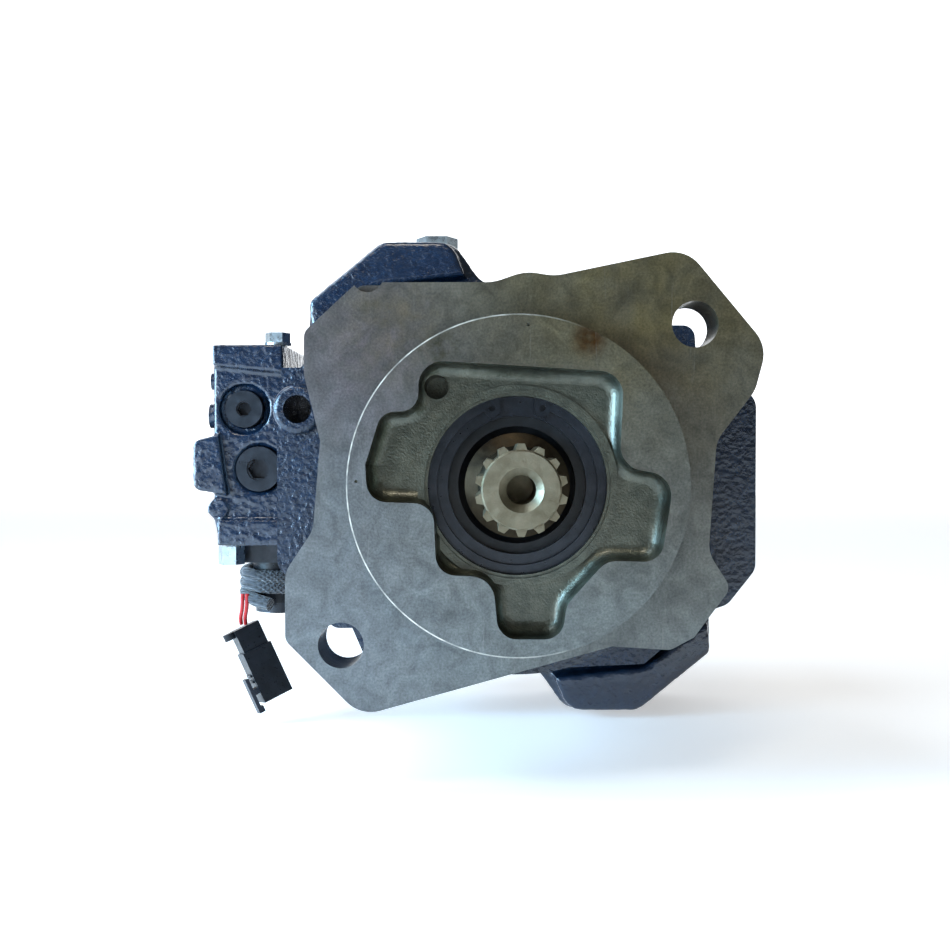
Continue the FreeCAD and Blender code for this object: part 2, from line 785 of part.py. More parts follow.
cover_back = body_back + cover_depth
PORT_SIDE = {"suction": 1, "pressure": -1}
port_bolt_y, port_bolt_u = 29.35, 15.1
port_y = 193


def port_frame(name):
    """Y points out of the sloping face, X along it, with the port's centre at the origin."""
    side = PORT_SIDE[name]
    (x0, z0), (x1, z1) = COVER_HALF[1:3]
    along = V(x1 - x0, 0, z1 - z0) * side
    along.normalize()
    out = V(-along.z, 0, along.x)
    face = V(side * (x0 + x1) / 2, port_y, side * (z0 + z1) / 2)
    return FreeCAD.Placement(face, FreeCAD.Rotation(along, out, V(0, 0, 0), "XYZ"))


def make_cover():
    body = new_body()
    pad(body, COVER, body_back, cover_back)
    for corners, radius in COVER_ROUNDING:
        round_edges(body, corners + opposite(corners), radius)
    for outline in (BOSS, opposite(BOSS)):
        pad(body, outline, body_back - 10, body_back + 1)
    drill(body, [(0, 0, 26)], body_back - 1, body_back + 18)
    x, z = LEVER_SPOTS[1]
    drill(body, [(x, z, 11.05)], body_back - 1, body_back + 26.2)
    drill(body, [(x, z, 4.1)], body_back, cover_back + 1)
    x, z = LEVER_SPOTS[0]
    drill(body, [(x, z, 11.1)], body_back - 1, body_back + 14.1)
    drill(body, [(x, z, 6.9) for x, z in COVER_SCREWS], body_back - 1, cover_back + 1)
    for name in PORT_SIDE:
        cut_port(body, name)
    take_out(body, V(-38, 190, 100), Z_AXIS, 6.5, 22)
    node("end_cover", body)


def take_out(body, start, direction, radius, length):
    """Drills the body from a point along a direction."""
    before = body.Shape.Volume
    tool = body.newObject("PartDesign::SubtractiveCylinder", "Drill")
    set_size(tool, Radius=radius, Height=length)
    tool.Placement = FreeCAD.Placement(start, FreeCAD.Rotation(Z_AXIS, direction))
    DOC.recompute()
    if body.Shape.Volume > before - 1e-3:
        raise RuntimeError(f"a drilling at {start} cuts nothing")


def cut_port(body, name):
    frame = port_frame(name)
    inward = frame.Rotation.multVec(V(0, -1, 0))
    take_out(body, frame.multVec(V(0, 1, 0)), inward, port_radius, 81)
    for u in (-port_bolt_u, port_bolt_u):
        for y in (-port_bolt_y, port_bolt_y):
            take_out(body, frame.multVec(V(u, 1, y)), inward, 4.25, 25)


def make_cover_screws():
    screws = []
    for x, z in COVER_SCREWS:
        shank = Part.makeCylinder(5, cover_depth.value + 15, V(x, body_back.value - 15, z), Y_AXIS)
        head = Part.makeCylinder(9, 11, V(x, cover_back.value + 0.05, z), Y_AXIS)
        socket = Part.makePolygon(
            [V(x + 5.2 * math.cos(a), cover_back.value + 5, z + 5.2 * math.sin(a))
             for a in [math.pi * k / 3 for k in range(7)]])
        screws.append(shank.fuse(head).cut(Part.Face(socket).extrude(V(0, 8, 0))))
    group("cover_screws", screws)


# ---------------------------------------------------------------- regulator

REG_LEFT, REG_RIGHT = -143, -108.2
REG_TOP, REG_LOW = 64, -33
UPPER_SPOOL = shift(x=-128, z=33)
LOWER_SPOOL = shift(x=-121, z=4.3)


def make_regulator_block():
    body = new_body()
    front, back = regulator_front, regulator_back
    pad(body, [(REG_LEFT, 57), (REG_LEFT + 4, REG_TOP), (REG_RIGHT, REG_TOP), (REG_RIGHT, REG_LOW),
               (REG_LEFT + 3, REG_LOW), (REG_LEFT, REG_LOW + 12)], front + 5, back)
    round_edges(body, [(REG_LEFT, 57), (REG_LEFT + 3, REG_LOW)], 3)
    pad(body, [(-142, 53.5), (-142, 63.5), (REG_RIGHT, 63.5), (REG_RIGHT, 50)], front - 2, front + 8)
    pad(body, [(-140, -20), (REG_RIGHT, -20), (REG_RIGHT, -32.5), (-140, -32.5)], front - 1, front + 8)
    pad(body, [(-152.5, -6), (-152.5, 18), (-140, 21), (-136, -8)], front + 2, front + 52)
    round_edges(body, [(-152.5, -6), (-152.5, 18)], 4.5)
    pad_round(body, [(-141, -15, 5)], front + 4, front + 40)
    drill(body, [(-128, 33, 11.8)], front, front + 8)
    drill(body, [(-128, 33, 8.9)], front, front + 24)
    drill(body, [(-128, 33, 6)], front, back + 1)
    drill(body, [(-121, 4.3, 11.9)], front, front + 6.5)
    drill(body, [(-121, 4.3, 10.8)], front, front + 22)
    drill(body, [(-121, 4.3, 7)], front, back + 1)
    node("regulator_block", body)


def socket_plug(radius, front, back, socket, place):
    """A round screw plug with a rim and a hexagon socket."""
    return cut(cylinder(radius, front, back, place), hexagon(socket, front - 1, front + 6, place),
               cylinder(socket * 0.62, front - 1, front + 0.8, place))


def make_spool(name, radius, front, length, place):
    waist = radius - 1.6
    step = length / 5
    turned(name, [
        (0, front), (radius, front), (radius, front + step), (waist, front + step + 1),
        (waist, front + 2 * step), (radius, front + 2 * step), (radius, front + 3 * step),
        (waist, front + 3 * step), (waist, front + 4 * step), (radius, front + 4 * step),
        (radius, front + length), (0, front + length),
    ], place)


def make_regulator():
    make_regulator_block()
    upper = socket_plug(8.85, 123.5, 143.9, 6, UPPER_SPOOL)
    lower = socket_plug(10.75, 123, 141.9, 9, LOWER_SPOOL)
    gather("spool_plugs", upper, lower)
    screws, nuts = [], []
    for name, radius, place in (("upper", 5.95, UPPER_SPOOL), ("lower", 6.95, LOWER_SPOOL)):
        make_spool(f"{name}_spool", radius, 147, 26, place)
        spring(f"{name}_spool_spring", radius - 1.6, 0.8, 175.2, 189, 6, place)
        screws.append(fuse(cylinder(radius, 189.1, 203, place), cylinder(3, 203, 212, place)))
        nuts.append(cut(hexagon(13, 203.1, 208, place), cylinder(3.1, 200, 220, place)))
    return screws, nuts


def make_hex_plugs():
    """The zinc plugs: on the cover's boss, on top of the regulator and under it."""
    cover = FreeCAD.Placement(V(-38, 190, 118.3), FreeCAD.Rotation(X_AXIS, 90))
    top = FreeCAD.Placement(V(-113, 132, REG_TOP), FreeCAD.Rotation(X_AXIS, 90))
    under = FreeCAD.Placement(V(-135.6, 131, REG_LOW), FreeCAD.Rotation(X_AXIS, -90))
    large = fuse(hexagon(19, 0.1, 7, cover), cylinder(11, 0.05, 1.5, cover), cylinder(6.4, -12, 1, cover))
    small = fuse(hexagon(10.5, 0.1, 6, top), cylinder(6.5, 0.05, 1.2, top))
    gather("hex_plugs", large, small, hexagon(11, 0.1, 9, under))


def make_side_plugs():
    heads = [(47, 140, 4.2), (30, 137, 6), (30, 160, 5), (44, 186, 5)]
    left = [
        Part.makeCylinder(r, 3.6, V(REG_LEFT - 0.05, y, z), -X_AXIS) for z, y, r in heads
    ]
    group("regulator_side_plugs", left)


# ---------------------------------------------------------------- solenoid and lead

SOLENOID = FreeCAD.Placement(V(-solenoid_x.value, solenoid_y.value, 0), FreeCAD.Rotation(X_AXIS, -90))
wrap_radius = 16.8


def make_solenoid():
    base = block((-131, 138, -42), (-104.5, 168, REG_LOW - 0.1))
    node("solenoid_tube", fuse(base, cylinder(6, 35, 68, SOLENOID)))
    tube("solenoid_coil", 12.9, 6.1, 42.1, 62, SOLENOID)
    nut = cut(cylinder(11.6, 62.1, 67), cylinder(6.1, 60, 70))
    node("solenoid_nut", nut, SOLENOID)
    tube("lead_coil", wrap_radius + sleeve_radius.value + 0.3, 13.1, 42.4, 61.8, SOLENOID)


def smooth_path(points):
    """Straight runs joined by tangent arcs, and the arcs' radii."""
    edges, radii, start = [], [], points[0]
    for before, here, after in zip(points, points[1:], points[2:]):
        back, ahead = here - before, after - here
        corner = back.getAngle(ahead)
        reach = 0.45 * min(back.Length, ahead.Length)
        radii.append(reach / math.tan(corner / 2))
        back.normalize()
        ahead.normalize()
        first, last = here - back * reach, here + ahead * reach
        bow = ahead - back
        bow.normalize()
        depth = radii[-1] * (1 / math.cos(corner / 2) - 1)
        edges.append(Part.LineSegment(start, first).toShape())
        edges.append(Part.Arc(first, here + bow * depth, last).toShape())
        start = last
    edges.append(Part.LineSegment(start, points[-1]).toShape())
    return Part.Wire(edges), radii


def tube_along(points, radius):
    path, radii = smooth_path(points)
    along = points[1] - points[0]
    ring = Part.Wire(Part.makeCircle(radius, points[0], along))
    solid = path.makePipeShell([ring], True, True)
    expected = math.pi * radius * radius * path.Length
    print("lead tube", round(path.Length, 1), "mm, radii", [round(r, 1) for r in radii],
          "volume ratio", round(solid.Volume / expected, 4))
    return solid


WIRE_ROUTE = [V(-131.2, 135, -57), V(-131.4, 135.2, -64), V(-132.6, 136.8, -69), V(-132.6, 138.5, -72.3)]


def make_lead_wires():
    wires = []
    for sideways in (0, 2.2):
        wires.append(tube_along([p + V(sideways, 0, 0) for p in WIRE_ROUTE], 0.95))
    group("lead_wires", wires)


CONNECTOR = FreeCAD.Placement(V(-131.4, 138.5, -73.2), FreeCAD.Rotation(Y_AXIS, V(0.411, 0.02, -0.911)))
CONNECTOR = CONNECTOR * turn(Y_AXIS, -50)


def make_connector():
    shell = fuse(block((-6.5, 0.2, -5.5), (6.5, 20, 5.5)), block((-7.5, 12, -6.5), (7.5, 38, 6.5)))
    ear = cylinder(3.4, 0.2, 3.5, shift(x=-8, z=0))
    bridge = block((-9, 0.2, -3), (-5, 3.5, 3))
    mouth = block((-5.5, 22, -4.5), (5.5, 39, 4.5))
    ribs = [block((-8.3, y, -4), (-7, y + 1.2, 4)) for y in (23, 26)]
    node("connector_body", cut(fuse(shell, ear, bridge, *ribs), mouth), CONNECTOR)
    lever_bar = block((-11.2, 24, -3), (-9.4, 42, 3))
    root = block((-9.8, 30, -3), (-7.6, 33, 3))
    hook = block((-11.2, 39, -3), (-8.2, 42, 3))
    node("connector_latch", fuse(lever_bar, root, hook), CONNECTOR)


# ---------------------------------------------------------------- build and write


def build():
    make_housing()
    make_swash_support()
    make_cradle_bearings()
    make_swash_plate()
    make_slippers()
    make_pistons()
    make_retainer()
    make_cylinder_block()
    make_shaft()
    make_bearings()
    make_front_seal()
    make_block_spring()
    make_valve_plate()
    stop, stop_nut = make_stroke_control()
    make_cover()
    make_cover_screws()
    screws, nuts = make_regulator()
    gather("adjusting_screws", stop, *screws)
    gather("lock_nuts", stop_nut, *nuts)
    make_hex_plugs()
    make_side_plugs()
    make_solenoid()
    make_lead_wires()
    make_connector()
    DOC.recompute()


def check():
    for thing in DOC.Objects:
        if {"Invalid", "Error"} & set(thing.State):
            raise RuntimeError(f"{thing.Name} ({thing.Label}) is {thing.State}")
    for thing in NODES:
        if thing.Shape.isNull() or not thing.Shape.isValid():
            raise RuntimeError(f"{thing.Label} has no valid shape")


def write():
    os.makedirs("parts", exist_ok=True)
    for thing in NODES:
        thing.Shape.exportStep(f"parts/{thing.Label}.step")
    print(len(NODES), "sub-parts written")


build()
check()
write()
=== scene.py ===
"""Looks of the axial piston pump: materials, finished castings, the wound lead, light and camera."""

import math

import bmesh
import bpy
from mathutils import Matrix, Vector


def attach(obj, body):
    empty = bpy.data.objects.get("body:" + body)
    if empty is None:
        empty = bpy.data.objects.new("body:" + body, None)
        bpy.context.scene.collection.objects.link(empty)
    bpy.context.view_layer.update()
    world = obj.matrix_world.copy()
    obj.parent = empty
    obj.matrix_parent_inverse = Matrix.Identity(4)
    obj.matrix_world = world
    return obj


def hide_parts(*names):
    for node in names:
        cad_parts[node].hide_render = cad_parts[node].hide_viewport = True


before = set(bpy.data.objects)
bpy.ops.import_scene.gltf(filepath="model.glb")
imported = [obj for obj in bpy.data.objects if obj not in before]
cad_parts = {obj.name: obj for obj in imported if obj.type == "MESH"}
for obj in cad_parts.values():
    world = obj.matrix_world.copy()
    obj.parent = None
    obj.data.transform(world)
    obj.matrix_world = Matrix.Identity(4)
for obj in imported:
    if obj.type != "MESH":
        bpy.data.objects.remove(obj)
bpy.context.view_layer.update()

MM = 0.001
CASE = "pump_case"


# ---------------------------------------------------------------- camera, light and floor

CAMERA_AT = (-0.0115, -0.466, 0.0134)
LOOK = (-0.00974, 1.0, -0.02029)
IMAGE_SIDE = 950
FOCAL_PIXELS = 1232
SENSOR = 36.0
FLOOR_Z = -0.1215


def make_camera():
    data = bpy.data.cameras.new("camera")
    data.sensor_width = SENSOR
    data.lens = SENSOR * FOCAL_PIXELS / IMAGE_SIDE
    camera = bpy.data.objects.new("camera", data)
    camera.location = CAMERA_AT
    camera.rotation_euler = Vector(LOOK).to_track_quat("-Z", "Y").to_euler()
    bpy.context.collection.objects.link(camera)
    bpy.context.scene.camera = camera


def area_light(name, at, target, size, power, colour):
    data = bpy.data.lights.new(name, "AREA")
    data.shape = "RECTANGLE"
    data.size, data.size_y = size
    data.energy = power
    data.color = colour
    lamp = bpy.data.objects.new(name, data)
    lamp.location = at
    lamp.rotation_euler = (Vector(target) - Vector(at)).to_track_quat("-Z", "Y").to_euler()
    bpy.context.collection.objects.link(lamp)


def make_lights():
    middle = (0.0, 0.05, 0.0)
    area_light("sky_left", (-1.0, -0.35, 0.15), middle, (0.6, 0.8), 44, (0.42, 0.72, 1.0))
    area_light("sky_high", (-0.7, -0.1, 1.0), middle, (0.6, 0.5), 9, (0.75, 0.88, 1.0))
    area_light("front_left", (-0.95, -0.95, -0.02), middle, (0.5, 0.4), 6, (0.8, 0.9, 1.0))
    area_light("front_top", (-0.2, -1.0, 1.1), middle, (0.4, 0.3), 5, (1.0, 0.9, 0.74))
    world = bpy.data.worlds.new("studio")
    world.use_nodes = True
    sky = world.node_tree.nodes["Background"]
    sky.inputs["Color"].default_value = (0.9, 0.95, 1, 1)
    sky.inputs["Strength"].default_value = 0.13
    bpy.context.scene.world = world
    bpy.context.scene.view_settings.view_transform = "Standard"


def plain_sheet(name, size, at, tilt, glow):
    """A pale plane that carries the floor or the wall behind the pump."""
    mesh = bpy.data.meshes.new(name)
    bm = bmesh.new()
    bmesh.ops.create_grid(bm, x_segments=1, y_segments=1, size=size)
    bm.to_mesh(mesh)
    bm.free()
    sheet = bpy.data.objects.new(name, mesh)
    sheet.location = at
    sheet.rotation_euler = (tilt, 0, 0)
    bpy.context.collection.objects.link(sheet)
    material = bpy.data.materials.new(name)
    material.use_nodes = True
    shader = material.node_tree.nodes["Principled BSDF"]
    shader.inputs["Base Color"].default_value = (0.9, 0.9, 0.9, 1)
    shader.inputs["Roughness"].default_value = 0.9
    shader.inputs["Specular IOR Level"].default_value = 0.0
    shader.inputs["Emission Color"].default_value = (1, 1, 1, 1)
    shader.inputs["Emission Strength"].default_value = glow
    mesh.materials.append(material)


def make_floor():
    plain_sheet("floor", 4, (0, 0, FLOOR_Z), 0, 0.42)
    plain_sheet("wall", 4, (0, 3.2, 1.5), math.radians(90), 0.95)


# ---------------------------------------------------------------- material building


class Look:
    """A Principled material and short calls for the nodes that shape it."""

    def __init__(self, name, **sockets):
        self.material = bpy.data.materials.new(name)
        self.material.use_nodes = True
        self.tree = self.material.node_tree
        self.shader = self.tree.nodes["Principled BSDF"]
        for socket, value in sockets.items():
            self.shader.inputs[socket.replace("_", " ")].default_value = value
        coords = self.tree.nodes.new("ShaderNodeTexCoord")
        self.place = coords.outputs["Object"]
        self.height = None

    def new(self, kind, **fields):
        made = self.tree.nodes.new(kind)
        for field, value in fields.items():
            setattr(made, field, value)
        return made

    def link(self, source, target):
        self.tree.links.new(source, target)

    def stretched(self, x=1.0, y=1.0, z=1.0):
        mapping = self.new("ShaderNodeMapping")
        mapping.inputs["Scale"].default_value = (x, y, z)
        self.link(self.place, mapping.inputs["Vector"])
        return mapping.outputs["Vector"]

    def noise(self, size_mm, detail=3.0, roughness=0.55, place=None, distortion=0.0):
        made = self.new("ShaderNodeTexNoise")
        made.inputs["Scale"].default_value = 1 / (size_mm * MM)
        made.inputs["Detail"].default_value = detail
        made.inputs["Roughness"].default_value = roughness
        made.inputs["Distortion"].default_value = distortion
        self.link(place or self.place, made.inputs["Vector"])
        return made.outputs["Fac"]

    def cells(self, size_mm, feature="F1"):
        made = self.new("ShaderNodeTexVoronoi", feature=feature)
        made.inputs["Scale"].default_value = 1 / (size_mm * MM)
        self.link(self.place, made.inputs["Vector"])
        return made.outputs["Distance"]

    def ramp(self, factor, stops):
        made = self.new("ShaderNodeValToRGB")
        points = made.color_ramp.elements
        while len(points) < len(stops):
            points.new(0.5)
        for point, (place, value) in zip(points, stops):
            point.position = place
            point.color = (value, value, value, 1) if isinstance(value, (int, float)) else (*value, 1)
        self.link(factor, made.inputs["Fac"])
        return made.outputs["Color"]

    def math(self, operation, a, b=0.0):
        made = self.new("ShaderNodeMath", operation=operation)
        for socket, value in zip(made.inputs, (a, b)):
            if isinstance(value, (int, float)):
                socket.default_value = value
            else:
                self.link(value, socket)
        return made.outputs[0]

    def mix(self, factor, a, b, blend="MIX"):
        made = self.new("ShaderNodeMix", data_type="RGBA", blend_type=blend)
        for socket, value in ((made.inputs[0], factor), (made.inputs[6], a), (made.inputs[7], b)):
            if isinstance(value, tuple):
                socket.default_value = (*value, 1)
            elif isinstance(value, (int, float)):
                socket.default_value = value
            else:
                self.link(value, socket)
        return made.outputs[2]

    def near(self, at, inner, outer):
        """1 within the inner distance of a point, falling to 0 at the outer one, in mm."""
        gap = self.new("ShaderNodeVectorMath", operation="DISTANCE")
        gap.inputs[1].default_value = [v * MM for v in at]
        self.link(self.place, gap.inputs[0])
        band = self.new("ShaderNodeMapRange")
        band.inputs["From Min"].default_value = outer * MM
        band.inputs["From Max"].default_value = inner * MM
        self.link(gap.outputs["Value"], band.inputs["Value"])
        return band.outputs["Result"]

    def ring(self, low, high):
        """1 between two distances from the shaft's axis, in mm."""
        split = self.new("ShaderNodeSeparateXYZ")
        self.link(self.place, split.inputs[0])
        flat = self.new("ShaderNodeCombineXYZ")
        self.link(split.outputs["X"], flat.inputs["X"])
        self.link(split.outputs["Z"], flat.inputs["Z"])
        reach = self.new("ShaderNodeVectorMath", operation="LENGTH")
        self.link(flat.outputs[0], reach.inputs[0])
        above = self.math("GREATER_THAN", reach.outputs["Value"], low * MM)
        below = self.math("LESS_THAN", reach.outputs["Value"], high * MM)
        return self.math("MULTIPLY", above, below)

    def along(self, axis, low, high):
        """0 below one coordinate and 1 above another, in mm."""
        split = self.new("ShaderNodeSeparateXYZ")
        self.link(self.place, split.inputs[0])
        band = self.new("ShaderNodeMapRange")
        band.inputs["From Min"].default_value = low * MM
        band.inputs["From Max"].default_value = high * MM
        self.link(split.outputs[axis], band.inputs["Value"])
        return band.outputs["Result"]

    def colour(self, source):
        self.link(source, self.shader.inputs["Base Color"])

    def rough(self, source):
        self.link(source, self.shader.inputs["Roughness"])

    def bump(self, height, depth_mm, strength=1.0):
        made = self.new("ShaderNodeBump")
        made.inputs["Strength"].default_value = strength
        made.inputs["Distance"].default_value = depth_mm * MM
        self.link(height, made.inputs["Height"])
        if self.height is not None:
            self.link(self.height, made.inputs["Normal"])
        self.height = made.outputs["Normal"]
        self.link(self.height, self.shader.inputs["Normal"])


def iron_colour(look):
    """Oily machined cast iron: olive grey with brown patches, a painted bluish sky reflection that grows
    towards the bottom and towards negative X, and a painted highlight on the pilot's front rim.
    """
    broad = look.noise(38, 2.5, 0.5, distortion=0.6)
    cloudy = look.noise(11, 4, 0.6, distortion=1.2)
    olive = look.ramp(broad, [(0.3, (0.1, 0.088, 0.06)), (0.7, (0.15, 0.138, 0.1))])
    # Painted sky reflection: the iron is mixed towards a pale blue grey lower down and, more faintly,
    # towards negative X.
    low_sky_sheen = look.mix(look.along("Z", 60, -60), olive, (0.175, 0.19, 0.185))
    side_sky_sheen = look.mix(look.math("MULTIPLY", look.along("X", 10, -60), 0.35), low_sky_sheen, (0.19, 0.195, 0.23))
    gold_patches = look.ramp(look.noise(22, 3), [(0.3, 0.1), (0.7, 0.9)])
    gold = look.math("MULTIPLY", look.near((45, 0, 80), 5, 80), gold_patches)
    warm = look.mix(gold, side_sky_sheen, (0.165, 0.13, 0.05))
    band_patches = look.ramp(look.noise(9, 4), [(0.35, 0.1), (0.65, 0.9)])
    band = look.math("MULTIPLY", look.near((-48, 0, 58), 4, 30), band_patches)
    tan = look.mix(band, warm, (0.15, 0.115, 0.05))
    stain_patches = look.ramp(look.noise(3, 4), [(0.3, 0.5), (0.6, 1.0)])
    stain = look.math("MULTIPLY", look.near((26, -12.7, 54), 2.5, 8), stain_patches)
    stained = look.mix(stain, tan, (0.075, 0.03, 0.002))
    streak_patches = look.ramp(look.noise(4, 4), [(0.35, 0.0), (0.6, 0.8)])
    streak = look.math("MULTIPLY", look.near((-29, -12.7, 51), 2, 9), streak_patches)
    streaked = look.mix(streak, stained, (0.06, 0.055, 0.02))
    purple_patches = look.ramp(cloudy, [(0.3, 0.2), (0.7, 0.75)])
    purple = look.math("MULTIPLY", look.near((-60, 0, 45), 4, 48), purple_patches)
    tinted = look.mix(purple, streaked, (0.13, 0.1, 0.115))
    smears = look.ramp(cloudy, [(0.25, 0.5), (0.75, 1.05)])
    speckle = look.ramp(look.noise(0.9, 4, 0.65), [(0.3, 0.72), (0.7, 1.28)])
    worn = look.mix(1.0, look.mix(1.0, tinted, smears, "MULTIPLY"), speckle, "MULTIPLY")
    # Painted highlight: a thin pale ring on the pilot's front edge, strongest towards negative X and broken
    # into patches.
    rim_edge = look.math("MULTIPLY", look.ring(63.0, 63.7), look.along("X", 25, -25))
    front = look.math("SUBTRACT", 1.0, look.along("Y", -12.2, -11.4))
    rim_highlight_patches = look.ramp(look.noise(6, 3), [(0.35, 0.3), (0.6, 1.0)])
    rim_highlight = look.math("MULTIPLY", look.math("MULTIPLY", rim_edge, front), rim_highlight_patches)
    rim_highlighted = look.mix(rim_highlight, worn, (0.75, 0.73, 0.66))
    scratches = look.noise(5, 5, 0.75, look.stretched(1, 1, 0.06), 0.4)
    marks = look.ramp(scratches, [(0.62, 0.0), (0.74, 0.35)])
    return look.mix(marks, rim_highlighted, (0.3, 0.3, 0.28))


def paint_colour(look):
    flakes = look.noise(6, 4, 0.6)
    return look.ramp(flakes, [(0.3, (0.003, 0.009, 0.022)), (0.75, (0.007, 0.019, 0.042))])


def cast_lumps(look):
    """The height of a rough sand casting under thick paint."""
    lumps = look.noise(2.3, 3, 0.6, distortion=0.4)
    pits = look.cells(1.9, "SMOOTH_F1")
    return look.math("ADD", look.math("MULTIPLY", pits, 0.7), lumps)


def make_paint():
    look = Look("blue_black_paint", Metallic=0.0, Roughness=0.3, Coat_Weight=0.7, Coat_Roughness=0.1)
    look.colour(paint_colour(look))
    look.rough(look.ramp(look.noise(5), [(0.3, 0.14), (0.7, 0.26)]))
    look.bump(cast_lumps(look), 0.38)
    return look.material


def make_housing_look():
    """Bare machined iron on the flange and pilot, the cast recess, and paint on the body behind them."""
    look = Look("housing_iron_and_paint", Metallic=0.0, Coat_Weight=0.3, Coat_Roughness=0.16)
    behind = look.along("Y", 22.6, 22.9)
    left_lobe = look.math("MULTIPLY", look.along("X", -78.5, -78.9), look.along("Y", 19.5, 19.9))
    boss = look.math("MULTIPLY", left_lobe, look.along("Z", 14, 14.4))
    painted = look.math("MAXIMUM", behind, boss)
    bare = look.math("SUBTRACT", 1.0, painted)
    inside = look.math("MULTIPLY", look.along("Y", -12.4, -11.6), look.near((0, -2, 0), 62.9, 63.2))
    recess = look.math("MULTIPLY", inside, look.math("SUBTRACT", 1.0, look.along("Y", 21, 22)))
    cast = look.ramp(look.noise(5, 4), [(0.3, (0.07, 0.074, 0.058)), (0.7, (0.125, 0.13, 0.1))])
    iron = look.mix(recess, iron_colour(look), cast)
    look.colour(look.mix(painted, iron, paint_colour(look)))
    look.link(look.math("MULTIPLY", bare, 0.78), look.shader.inputs["Metallic"])
    bare_rough = look.ramp(look.noise(9, 4), [(0.3, 0.34), (0.7, 0.5)])
    iron_rough = look.mix(recess, bare_rough, (0.33, 0.33, 0.33))
    look.rough(look.mix(painted, iron_rough, (0.24, 0.24, 0.24)))
    grain = look.math("MULTIPLY", look.noise(0.55, 3, 0.7), look.math("SUBTRACT", bare, recess))
    look.bump(grain, 0.09)
    look.bump(look.math("MULTIPLY", look.noise(0.9, 3, 0.6), recess), 0.22)
    look.bump(look.math("MULTIPLY", cast_lumps(look), painted), 0.6)
    return look.material


def make_shaft_look():
    """Pale worn end face; further in, down in the seal, the steel is darkened by painted shade as well as
    oil.
    """
    look = Look("shaft_steel", Metallic=1.0)
    pale = look.ramp(look.noise(6, 4, 0.6), [(0.3, (0.17, 0.15, 0.1)), (0.7, (0.28, 0.25, 0.18))])
    dark = look.ramp(look.noise(5, 4, 0.6), [(0.3, (0.018, 0.014, 0.01)), (0.7, (0.045, 0.035, 0.022))])
    # Painted shade and oil: the steel goes from the pale end face to near black deeper in, between y -24
    # and -8 mm.
    look.colour(look.mix(look.along("Y", -24, -8), pale, dark))
    look.rough(look.ramp(look.noise(2.5, 4), [(0.3, 0.34), (0.7, 0.55)]))
    look.bump(look.noise(0.5, 3), 0.06)
    return look.material


def make_metal(name, dark, light, roughness, grain_mm=0.5, metallic=1.0, wear=0.08, coat=0.0):
    look = Look(name, Metallic=metallic, Coat_Weight=coat, Coat_Roughness=0.15)
    look.colour(look.ramp(look.noise(7, 4, 0.6), [(0.3, dark), (0.7, light)]))
    look.rough(look.ramp(look.noise(3, 4), [(0.3, roughness - wear), (0.7, roughness + wear)]))
    look.bump(look.noise(grain_mm, 3, 0.6), 0.05)
    return look.material


def make_braid():
    """Braided sleeving: two families of crossing strands."""
    look = Look("braided_sleeve", Roughness=0.7, Sheen_Weight=0.35)
    waves = []
    for x, z in ((1, 1), (1, -1)):
        made = look.new("ShaderNodeTexWave", wave_type="BANDS", bands_direction="DIAGONAL")
        made.inputs["Scale"].default_value = 190
        made.inputs["Distortion"].default_value = 1.2
        made.inputs["Detail"].default_value = 1
        look.link(look.stretched(x, 1, z * 1.6), made.inputs["Vector"])
        waves.append(made.outputs["Fac"])
    weave = look.math("MAXIMUM", *waves)
    look.colour(look.ramp(weave, [(0.25, (0.0015, 0.002, 0.003)), (0.9, (0.02, 0.023, 0.032))]))
    look.bump(weave, 0.8)
    return look.material


def make_plastic(name, dark, light, roughness):
    look = Look(name, Roughness=roughness)
    look.shader.inputs["Specular IOR Level"].default_value = 0.3
    look.colour(look.ramp(look.noise(8, 3), [(0.3, dark), (0.7, light)]))
    look.rough(look.ramp(look.noise(1.2, 3), [(0.3, roughness - 0.07), (0.7, roughness + 0.1)]))
    look.bump(look.noise(0.25, 2), 0.04)
    return look.material


def make_materials():
    grey = make_metal("ground_steel", (0.3, 0.31, 0.32), (0.45, 0.46, 0.47), 0.28)
    bronze = make_metal("bearing_bronze", (0.35, 0.22, 0.09), (0.5, 0.35, 0.16), 0.35)
    black = make_metal("black_oxide", (0.016, 0.02, 0.026), (0.035, 0.04, 0.05), 0.34,
                       metallic=0.75, coat=0.3)
    return {
        "grey": grey,
        "bronze": bronze,
        "black": black,
        "paint": make_paint(),
        "housing": make_housing_look(),
        "shaft": make_shaft_look(),
        "zinc": make_metal("zinc_plate", (0.45, 0.55, 0.62), (0.62, 0.72, 0.78), 0.3, 0.8),
        "seal": make_plastic("seal_rubber", (0.008, 0.009, 0.01), (0.02, 0.021, 0.023), 0.45),
        "wire": make_plastic("red_wire", (0.32, 0.012, 0.015), (0.5, 0.03, 0.03), 0.32),
        "plastic": make_plastic("black_connector", (0.003, 0.004, 0.006), (0.009, 0.011, 0.015), 0.33),
        "latch": make_plastic("grey_latch", (0.012, 0.014, 0.02), (0.025, 0.028, 0.038), 0.36),
        "braid": make_braid(),
    }


NODE_LOOKS = {
    "housing": ["pump_housing"],
    "paint": ["end_cover", "regulator_block", "regulator_side_plugs"],
    "shaft": ["drive_shaft"],
    "zinc": ["hex_plugs"],
    "bronze": ["valve_plate", "cradle_bearings"],
    "seal": ["shaft_seal"],
    "wire": ["lead_wires"],
    "plastic": ["connector_body", "solenoid_coil"],
    "latch": ["connector_latch"],
    "braid": ["lead_coil"],
    "black": ["seal_circlip", "seal_washer", "spool_plugs", "cover_screws", "lock_nuts", "adjusting_screws",
              "solenoid_nut", "solenoid_tube"],
}


def cad(name):
    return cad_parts[name]


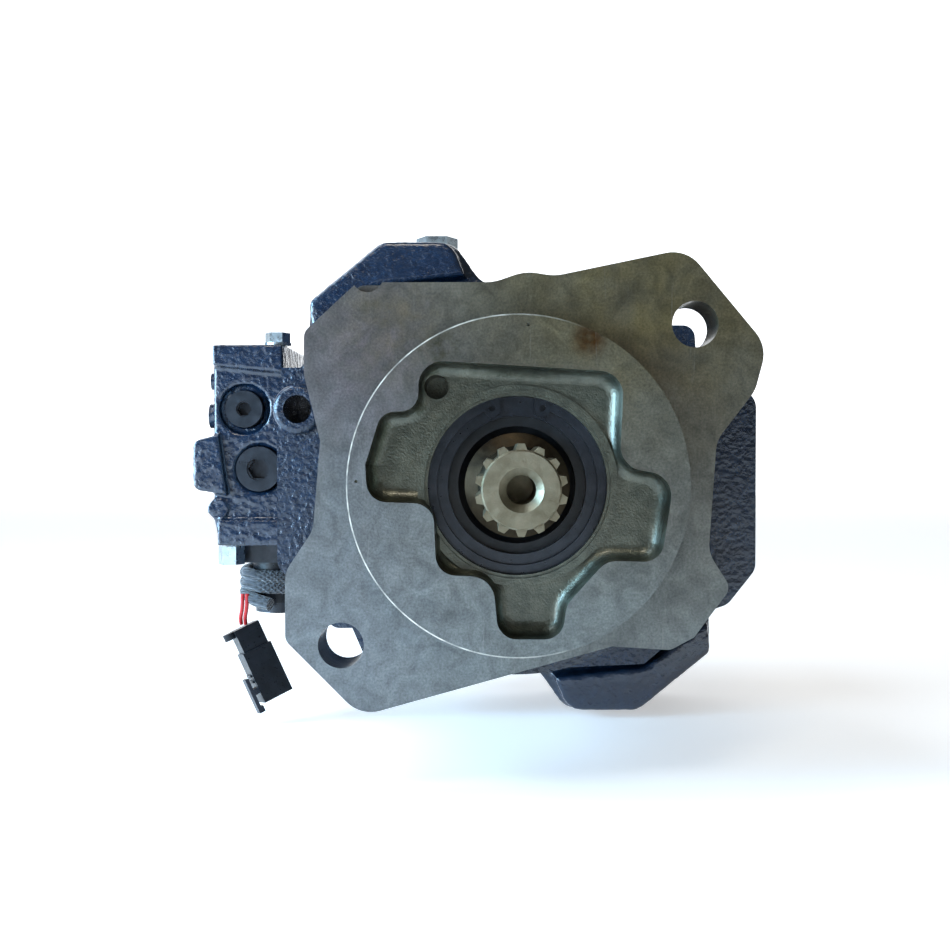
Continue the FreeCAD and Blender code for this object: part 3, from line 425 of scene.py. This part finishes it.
def dress_nodes(looks):
    chosen = {n: key for key, names in NODE_LOOKS.items() for n in names}
    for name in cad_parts:
        thing = cad(name)
        material = looks[chosen.get(name, "grey")]
        for index in range(max(1, len(thing.material_slots))):
            if index < len(thing.material_slots):
                thing.material_slots[index].material = material
            else:
                thing.data.materials.append(material)


# ---------------------------------------------------------------- castings

CASTINGS = {"end_cover": (1.2, 9), "regulator_block": (0.8, 5)}


def soften_castings():
    """Gives the painted castings rounded edges and a lumpy sand-cast skin, kept inside their outline."""
    lumps = bpy.data.textures.new("sand_lumps", "CLOUDS")
    lumps.noise_scale = 0.0028
    lumps.noise_depth = 1
    for name, (pitch, passes) in CASTINGS.items():
        thing = cad(name)
        mesh = thing.modifiers.new("even_mesh", "REMESH")
        mesh.mode = "VOXEL"
        mesh.voxel_size = pitch * MM
        mesh.use_smooth_shade = True
        rounding = thing.modifiers.new("rounding", "SMOOTH")
        rounding.factor = 0.5
        rounding.iterations = passes
        skin = thing.modifiers.new("skin", "DISPLACE")
        skin.texture = lumps
        skin.texture_coords = "LOCAL"
        skin.strength = 0.45 * MM
        skin.mid_level = 1.0
    for name in ("connector_body", "connector_latch"):
        edge = cad(name).modifiers.new("edge", "BEVEL")
        edge.width = 0.6 * MM
        edge.segments = 2
        edge.limit_method = "ANGLE"


# ---------------------------------------------------------------- lead

SOLENOID = (-0.116, 0.152)
TURNS = 3
POINTS_PER_TURN = 14
WRAP = 0.0168
SLEEVE = 0.0064


def wound_route():
    """The sleeve's turns round the solenoid, a little uneven, running out to the wires' tops."""
    points = []
    start, end = math.radians(75), math.radians(75 + 360 * TURNS - 230)
    count = POINTS_PER_TURN * TURNS
    for i in range(count + 1):
        t = i / count
        a = start + (end - start) * t
        r = WRAP + 0.0003 * math.sin(3.1 * a)
        z = -0.0458 - 0.0115 * t + 0.0005 * math.sin(a * 0.93 + 1)
        points.append((SOLENOID[0] + r * math.cos(a), SOLENOID[1] + r * math.sin(a), z))
    for i in range(1, 8):
        a = end + math.radians(9 * i)
        r = WRAP + 0.0049 * (i / 7) ** 1.5
        z = points[count][2] - 0.0006 * i
        points.append((SOLENOID[0] + r * math.cos(a), SOLENOID[1] + r * math.sin(a), z))
    return points


def nurbs(name, points, radius, material):
    data = bpy.data.curves.new(name, "CURVE")
    data.dimensions = "3D"
    data.bevel_depth = radius
    data.bevel_resolution = 6
    data.resolution_u = 6
    data.use_fill_caps = True
    spline = data.splines.new("NURBS")
    spline.points.add(len(points) - 1)
    for point, at in zip(spline.points, points):
        point.co = (*at, 1)
    spline.order_u = 3
    spline.use_endpoint_u = True
    data.materials.append(material)
    curve = bpy.data.objects.new(name, data)
    bpy.context.collection.objects.link(curve)
    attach(curve, CASE)
    return curve


def make_lead(looks):
    route = wound_route()
    sleeve = nurbs("braided_lead", route, SLEEVE / 2, looks["braid"])
    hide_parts("lead_coil")


make_camera()
LOOKS = make_materials()
make_lead(LOOKS)
make_lights()
make_floor()
dress_nodes(LOOKS)
soften_castings()
